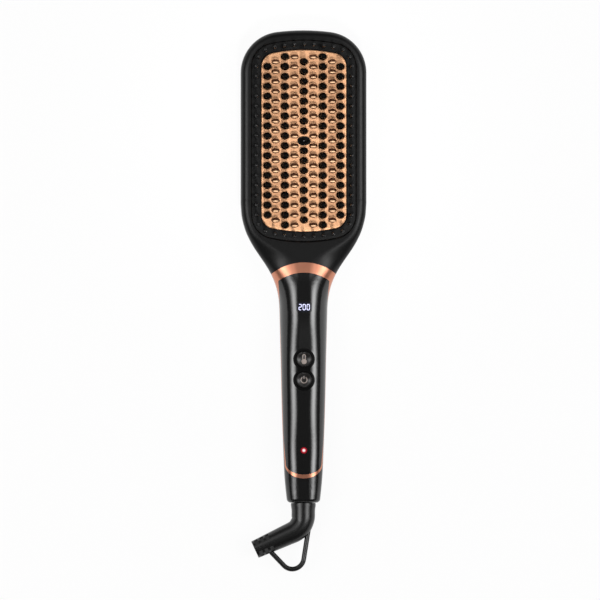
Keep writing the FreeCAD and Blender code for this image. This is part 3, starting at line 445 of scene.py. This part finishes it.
half_rise = (DIGIT_HEIGHT - BAR_WIDTH) / 2
half_run = (DIGIT_WIDTH - BAR_WIDTH) / 2
BAR_PLACES = {
    "A": (0, half_rise, "across"),
    "B": (half_run, half_rise / 2, "upright"),
    "C": (half_run, -half_rise / 2, "upright"),
    "D": (0, -half_rise, "across"),
    "E": (-half_run, -half_rise / 2, "upright"),
    "F": (-half_run, half_rise / 2, "upright"),
    "G": (0, 0, "across"),
}
upright_bar = pointed_bar("upright_bar", half_rise - BAR_GAP)
across_bar = pointed_bar("across_bar", 2 * half_run - BAR_GAP)
window_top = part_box("display_window")[1][2]
bars = []
for index, digit in enumerate(SHOWN_NUMBER):
    middle_x = (index - 1) * DIGIT_PITCH
    for letter in LIT_BARS[digit]:
        x, y, lie = BAR_PLACES[letter]
        place = (middle_x + x, WINDOW_Y + y, window_top + DROP_HEIGHT)
        if lie == "across":
            bars.append(copy_of(across_bar, "digit_bar", place, math.pi / 2))
        else:
            bars.append(copy_of(upright_bar, "digit_bar", place))
bpy.data.objects.remove(upright_bar)
bpy.data.objects.remove(across_bar)
digits = joined_piece("lit_digits", bars)
laid_on(digits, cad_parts["display_window"], DIGIT_LIFT, DIGIT_FILM)

digit_light, tree, shader = new_material("Lit display segments")
shader.inputs["Base Color"].default_value = linear(DIGIT_COLOUR)
shader.inputs["Roughness"].default_value = DIGIT_ROUGHNESS
shader.inputs["Emission Strength"].default_value = DIGIT_GLOW
place = add_node(tree, "ShaderNodeTexCoord")
haze = add_node(tree, "ShaderNodeTexNoise", {"Scale": 1 / BAR_WIDTH}, {"Vector": place.outputs["Object"]})
colours = {"Color1": linear(DIGIT_COLOUR), "Color2": linear("FFFFFF")}
glow = add_node(tree, "ShaderNodeMixRGB", colours, {"Fac": haze.outputs["Fac"]})
tree.links.new(glow.outputs["Color"], shader.inputs["Emission Color"])
digits.data.materials.append(digit_light)
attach(digits, "case")

smoke, tree, shader = new_material("Smoked acrylic")
shader.inputs["Base Color"].default_value = linear(WINDOW_COLOUR)
shader.inputs["Roughness"].default_value = WINDOW_ROUGHNESS
shader.inputs["Emission Strength"].default_value = HALO_GLOW
place = add_node(tree, "ShaderNodeTexCoord")
spread = add_node(
    tree,
    "ShaderNodeMapping",
    {"Location": (0, WINDOW_Y, window_top), "Scale": (HALO_WIDTH / 2, HALO_HEIGHT / 2, HALO_HEIGHT / 2)},
    {"Vector": place.outputs["Object"]},
    vector_type="TEXTURE",
)
ball = add_node(tree, "ShaderNodeTexGradient", None, {"Vector": spread.outputs["Vector"]},
                gradient_type="SPHERICAL")
colours = {"Color1": linear("000000"), "Color2": linear(HALO_COLOUR)}
halo = add_node(tree, "ShaderNodeMixRGB", colours, {"Fac": ball.outputs["Fac"]})
tree.links.new(halo.outputs["Color"], shader.inputs["Emission Color"])
dress(["display_window"], smoke)


# Push buttons: a dull black figure-of-eight bezel with two dished satin caps, and a pale symbol on each cap.
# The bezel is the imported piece. The caps are turned to the same size with a deeper dish and a rounded rim,
# and the symbols are made of flat rings, strips and discs, laid on the dishes like print.
BUTTONS = [("mode_button", -0.0353), ("power_button", -0.0479)]
CAP_R = 0.0046
CAP_RIM = 0.0005
CAP_LOW = 0.0182
FLANGE_R = 0.0053
FLANGE_TOP = 0.0195
STEM_R = 0.0017
STEM_LOW = 0.0166
DISH_R = 0.0105
DISH_STEPS = 8
RIM_STEPS = 6
PANEL_SLOPE = math.radians(3.26)
SYMBOL_DARK = "92857E"
SYMBOL_PALE = "A3968F"
SYMBOL_ROUGHNESS = 0.5
SYMBOL_LIFT = 0.00002
SYMBOL_FILM = 0.00002
STROKE = 0.0005
RING_R = 0.0021
RING_GAP = math.radians(70)
RING_SIDES = 72
POWER_BAR_LOW = 0.0006
POWER_BAR_HIGH = 0.0024
BULB_R = 0.0016
BULB_DROP = 0.0014
BULB_SIDES = 40
TUBE_R = 0.00105
TUBE_TOP = 0.002

BEZEL_DARK = "030303"
BEZEL_PALE = "050505"
BEZEL_ROUGHNESS = 0.4
BEZEL_GLOSS = 0.06
CAP_DARK = "0C0A09"
CAP_PALE = "120F0E"
CAP_ROUGHNESS = 0.28
CAP_GLOSS = 0.4
BUTTON_GRAIN = 0.0003
BUTTON_RELIEF = 0.000002
bezel_matte = grained_material("Matte black ABS", BEZEL_DARK, BEZEL_PALE, BEZEL_ROUGHNESS, BUTTON_GRAIN,
                               BUTTON_RELIEF, gloss=BEZEL_GLOSS)
dress(["button_bezel"], bezel_matte)
cap_satin = grained_material("Satin black ABS", CAP_DARK, CAP_PALE, CAP_ROUGHNESS, BUTTON_GRAIN,
                             BUTTON_RELIEF, gloss=CAP_GLOSS)


def cap_profile(rim_height):
    """Radius and height pairs of a cap: stem, flange, skirt, rounded rim, then the dish to the middle."""
    points = [
        (0.0, STEM_LOW),
        (STEM_R, STEM_LOW),
        (STEM_R, CAP_LOW),
        (FLANGE_R, CAP_LOW),
        (FLANGE_R, FLANGE_TOP),
        (CAP_R, FLANGE_TOP),
        (CAP_R, rim_height - CAP_RIM),
    ]
    for step in range(1, RIM_STEPS + 1):
        angle = math.pi / 2 * step / RIM_STEPS
        radius = CAP_R - CAP_RIM + CAP_RIM * math.cos(angle)
        points.append((radius, rim_height - CAP_RIM + CAP_RIM * math.sin(angle)))
    dish_edge = CAP_R - CAP_RIM
    edge_drop = math.sqrt(DISH_R ** 2 - dish_edge ** 2)
    for step in range(1, DISH_STEPS + 1):
        radius = dish_edge * (1 - step / DISH_STEPS)
        points.append((radius, rim_height + edge_drop - math.sqrt(DISH_R ** 2 - radius ** 2)))
    return points


caps = {}
for name, y in BUTTONS:
    rim_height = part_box(name)[1][2] - math.tan(PANEL_SLOPE) * CAP_R
    cap = turned_piece(f"{name}_cap", (0, y, 0), cap_profile(rim_height))
    choose(lambda place: place.z > FLANGE_TOP + CAP_RIM)
    # The cap's top follows the panel, which rises towards the head
    bpy.ops.transform.rotate(value=-PANEL_SLOPE, orient_axis="X", center_override=(0, y, rim_height))
    bpy.ops.object.mode_set(mode="OBJECT")
    cap.data.materials.append(cap_satin)
    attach(cap, name)
    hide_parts(name)
    caps[name] = cap


def flat_ring(name, radius, stroke, gap):
    """Flat ring open at the top: a circle's edges drawn inwards, then the faces in the gap removed."""
    bpy.ops.object.select_all(action="DESELECT")
    bpy.ops.mesh.primitive_circle_add(vertices=RING_SIDES, radius=radius, location=(0, 0, 0))
    ring = start_mesh(name)
    bpy.ops.object.mode_set(mode="EDIT")
    bpy.ops.mesh.select_all(action="SELECT")
    bpy.ops.mesh.extrude_edges_move()
    shrink = (radius - stroke) / radius
    bpy.ops.transform.resize(value=(shrink, shrink, 1))
    bpy.ops.object.mode_set(mode="OBJECT")
    choose(lambda place: abs(math.atan2(place.x, place.y)) < gap / 2)
    bpy.ops.mesh.delete(type="VERT")
    bpy.ops.object.mode_set(mode="OBJECT")
    return ring


def flat_strip(name, width, length, place):
    """Flat rectangle at a place."""
    bpy.ops.object.select_all(action="DESELECT")
    bpy.ops.mesh.primitive_plane_add(size=1, location=place)
    strip = start_mesh(name)
    strip.scale = (width, length, 1)
    bpy.ops.object.transform_apply(location=True, scale=True)
    return strip


def flat_disc(name, radius, place):
    """Flat filled disc at a place."""
    bpy.ops.object.select_all(action="DESELECT")
    bpy.ops.mesh.primitive_circle_add(vertices=BULB_SIDES, radius=radius, fill_type="TRIFAN", location=place)
    disc = start_mesh(name)
    bpy.ops.object.transform_apply(location=True)
    return disc


symbol_ink = grained_material("Printed symbol ink", SYMBOL_DARK, SYMBOL_PALE, SYMBOL_ROUGHNESS, BUTTON_GRAIN,
                              BUTTON_RELIEF)
power_ring = flat_ring("power_ring", RING_R, STROKE, RING_GAP)
bar_middle = (0, (POWER_BAR_LOW + POWER_BAR_HIGH) / 2, 0)
power_bar = flat_strip("power_bar", STROKE, POWER_BAR_HIGH - POWER_BAR_LOW, bar_middle)
power_symbol = joined_piece("power_symbol", [power_ring, power_bar])

tube_arc = flat_ring("tube_arc", TUBE_R, STROKE, math.pi)
tube_top = copy_of(tube_arc, "tube_top", (0, TUBE_TOP, 0), math.pi)
bpy.data.objects.remove(tube_arc)
tube_sides = []
for side in (-1, 1):
    middle = (side * (TUBE_R - STROKE / 2), (TUBE_TOP - BULB_DROP) / 2, 0)
    tube_sides.append(flat_strip("tube_side", STROKE, TUBE_TOP + BULB_DROP, middle))
bulb = flat_disc("bulb", BULB_R, (0, -BULB_DROP, 0))
heat_symbol = joined_piece("heat_symbol", [tube_top, bulb] + tube_sides)

for symbol, (name, y) in [(heat_symbol, BUTTONS[0]), (power_symbol, BUTTONS[1])]:
    symbol.data.transform(Matrix.Translation((0, y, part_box(name)[1][2] + DROP_HEIGHT)))
    laid_on(symbol, caps[name], SYMBOL_LIFT, SYMBOL_FILM)
    symbol.data.materials.append(symbol_ink)
    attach(symbol, name)


# Pilot lamp: a small red lens near the tail, flush in the panel, lit white-hot in its middle.
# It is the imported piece; the lamp behind it shows as a glow that fades to the lens's edge.
LAMP_Y = -0.0908
LAMP_GLOW_R = 0.0022
LAMP_GLOW = 1.0
LENS_COLOUR = "5A0710"
LENS_ROUGHNESS = 0.15
RIM_RED = "2A0308"
RIM_STOP = 0.05
LAMP_RED = "B00F22"
RED_STOP = 0.45
LAMP_WHITE = "FFFFFF"
WHITE_STOP = 0.8
lens, tree, shader = new_material("Red tinted polycarbonate")
shader.inputs["Base Color"].default_value = linear(LENS_COLOUR)
shader.inputs["Roughness"].default_value = LENS_ROUGHNESS
shader.inputs["Emission Strength"].default_value = LAMP_GLOW
place = add_node(tree, "ShaderNodeTexCoord")
lamp_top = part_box("indicator_lens")[1][2]
spread = add_node(
    tree,
    "ShaderNodeMapping",
    {"Location": (0, LAMP_Y, lamp_top), "Scale": (LAMP_GLOW_R, LAMP_GLOW_R, LAMP_GLOW_R)},
    {"Vector": place.outputs["Object"]},
    vector_type="TEXTURE",
)
ball = add_node(tree, "ShaderNodeTexGradient", None, {"Vector": spread.outputs["Vector"]},
                gradient_type="SPHERICAL")
fade = add_node(tree, "ShaderNodeValToRGB", None, {"Fac": ball.outputs["Fac"]})
rim, white = fade.color_ramp.elements
rim.position = RIM_STOP
rim.color = linear(RIM_RED)
white.position = WHITE_STOP
white.color = linear(LAMP_WHITE)
fade.color_ramp.elements.new(RED_STOP).color = linear(LAMP_RED)
tree.links.new(fade.outputs["Color"], shader.inputs["Emission Color"])
dress(["indicator_lens"], lens)


# Cord boot and hang loop: the bent strain relief that turns with the swivel, and the loop moulded on it.
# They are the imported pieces, in soft black PVC with a broad low shine.
BOOT_DARK = "090909"
BOOT_PALE = "101010"
BOOT_ROUGHNESS = 0.3
BOOT_GRAIN = 0.0003
BOOT_RELIEF = 0.000006
boot_rubber = grained_material("Soft black PVC", BOOT_DARK, BOOT_PALE, BOOT_ROUGHNESS, BOOT_GRAIN,
                               BOOT_RELIEF)
dress(["cord_boot", "hang_loop"], boot_rubber)


# Table: a plain white sheet under the brush. Seen by the camera, or in a reflection, it is white paper
# that keeps most of its own brightness and a little of the shadow.
TABLE_SIZE = 12.0
TABLE_DROP = 0.0003
TABLE_GLOW_SHARE = 0.94
PAPER_COLOUR = "F4F4F4"
PAPER_WHITE = "FFFFFF"
bpy.ops.object.select_all(action="DESELECT")
bpy.ops.mesh.primitive_plane_add(size=TABLE_SIZE, location=(0, 0, -TABLE_DROP))
bpy.ops.object.transform_apply(location=True)
table = start_mesh("table")
paper = bpy.data.materials.new("White paper")
paper.use_nodes = True
tree = paper.node_tree
tree.nodes.clear()
diffuse = add_node(tree, "ShaderNodeBsdfDiffuse", {"Color": linear(PAPER_COLOUR)})
bright = add_node(tree, "ShaderNodeEmission", {"Color": linear(PAPER_WHITE), "Strength": 1.0})
seen_paper = add_node(tree, "ShaderNodeMixShader", {"Fac": TABLE_GLOW_SHARE},
                      {1: diffuse.outputs["BSDF"], 2: bright.outputs["Emission"]})
path = add_node(tree, "ShaderNodeLightPath")
mirrored = {0: path.outputs["Is Glossy Ray"], 1: path.outputs["Is Transmission Ray"]}
mirror = add_node(tree, "ShaderNodeMath", None, mirrored, operation="MAXIMUM")
seen = add_node(tree, "ShaderNodeMath", None, {0: path.outputs["Is Camera Ray"], 1: mirror.outputs["Value"]},
                operation="MAXIMUM")
faces = {"Fac": seen.outputs["Value"], 1: diffuse.outputs["BSDF"], 2: seen_paper.outputs["Shader"]}
surface = add_node(tree, "ShaderNodeMixShader", None, faces)
add_node(tree, "ShaderNodeOutputMaterial", None, {"Surface": surface.outputs["Shader"]})
table.data.materials.append(paper)


# Room: a dim grey studio with soft lights over both sides of the brush, strongest across the handle and
# dimmer beyond the head. They are painted on the sky by the direction across and along the brush. Each has
# its strength and its edges: a direction, where it is dark and where it is bright. The horizon is white.
ROOM_GREY = 0.1
SKY_LIGHTS = [
    (8.5, [("across", 0.2, 0.62), ("across", 0.92, 0.62), ("along", -0.22, -0.14), ("along", 0.18, 0.06)]),
    (1.3, [("across", 0.05, 0.2), ("across", 0.8, 0.6), ("along", 0.2, 0.35), ("along", 0.75, 0.5)]),
]
SKY_LEAN = 0.07
SKY_LEAN_WIDTH = 0.3
HORIZON_LOW = 0.03
HORIZON_HIGH = 0.06
world = bpy.data.worlds.new("Studio")
bpy.context.scene.world = world
world.use_nodes = True
tree = world.node_tree
background = tree.nodes["Background"]
place = add_node(tree, "ShaderNodeTexCoord")
split = add_node(tree, "ShaderNodeSeparateXYZ", None, {"Vector": place.outputs["Generated"]})
across = add_node(tree, "ShaderNodeMath", None, {0: split.outputs["X"]}, operation="ABSOLUTE")
directions = {"across": across.outputs["Value"], "along": split.outputs["Y"]}
lean_ends = {
    "From Min": -SKY_LEAN_WIDTH,
    "From Max": SKY_LEAN_WIDTH,
    "To Min": 1 - SKY_LEAN,
    "To Max": 1 + SKY_LEAN,
}
lean = add_node(tree, "ShaderNodeMapRange", lean_ends, {"Value": split.outputs["X"]})
sky = None
for peak, edges in SKY_LIGHTS:
    glow = add_node(tree, "ShaderNodeMath", {1: peak}, {0: lean.outputs["Result"]}, operation="MULTIPLY")
    for direction, dark_at, bright_at in edges:
        edge = add_node(tree, "ShaderNodeMapRange", {"From Min": dark_at, "From Max": bright_at},
                        {"Value": directions[direction]}, interpolation_type="SMOOTHSTEP")
        glow = add_node(tree, "ShaderNodeMath", None, {0: glow.outputs["Value"], 1: edge.outputs["Result"]},
                        operation="MULTIPLY")
    total = add_node(tree, "ShaderNodeMath", {1: ROOM_GREY}, {0: glow.outputs["Value"]}, operation="ADD")
    if sky:
        tree.links.new(sky, total.inputs[1])
    sky = total.outputs["Value"]
horizon = add_node(tree, "ShaderNodeMapRange", {"From Min": HORIZON_HIGH, "From Max": HORIZON_LOW},
                   {"Value": split.outputs["Z"]})
strength = add_node(tree, "ShaderNodeMix", {"B": 1.0}, {"Factor": horizon.outputs["Result"], "A": sky})
tree.links.new(strength.outputs["Result"], background.inputs["Strength"])
background.inputs["Color"].default_value = linear("FFFFFF")


# Key light: one softbox high over the handle and a little to the right, which models the teeth of the plate.
# A honeycomb grid keeps its beam narrow, so it lights the head and hardly reaches the gloss of the handle.
# All its power goes into that beam, so the figure is small.
KEY_AIM = Vector((0.0, 0.09, 0.02))
KEY_PLACE = (0.12, -0.6, 1.31)
KEY_SIZE = 0.12
KEY_SPREAD = math.radians(10)
KEY_POWER = 0.055
key = bpy.data.lights.new("plate_key", "AREA")
key.size = KEY_SIZE
key.spread = KEY_SPREAD
key.energy = KEY_POWER
softbox = bpy.data.objects.new("plate_key", key)
softbox.location = KEY_PLACE
softbox.rotation_euler = (Vector(KEY_PLACE) - KEY_AIM).to_track_quat("Z", "Y").to_euler()
bpy.context.collection.objects.link(softbox)


# Camera: above the brush and a little to its left, with a long lens, as far off as the photograph's scale
# asks for.
CAMERA_AIM = Vector((-0.0021, 0.00073, 0.012))
CAMERA_DISTANCE = 5.08
CAMERA_LEAN = math.radians(1.8)
CAMERA_LENS = 500
SENSOR = 36
lens_data = bpy.data.cameras.new("camera")
lens_data.lens = CAMERA_LENS
lens_data.sensor_width = SENSOR
camera = bpy.data.objects.new("camera", lens_data)
camera.location = CAMERA_AIM + CAMERA_DISTANCE * Vector((-math.sin(CAMERA_LEAN), 0, math.cos(CAMERA_LEAN)))
camera.rotation_euler = (0, -CAMERA_LEAN, 0)
bpy.context.collection.objects.link(camera)
bpy.context.scene.camera = camera
bpy.context.scene.view_settings.view_transform = "Standard"
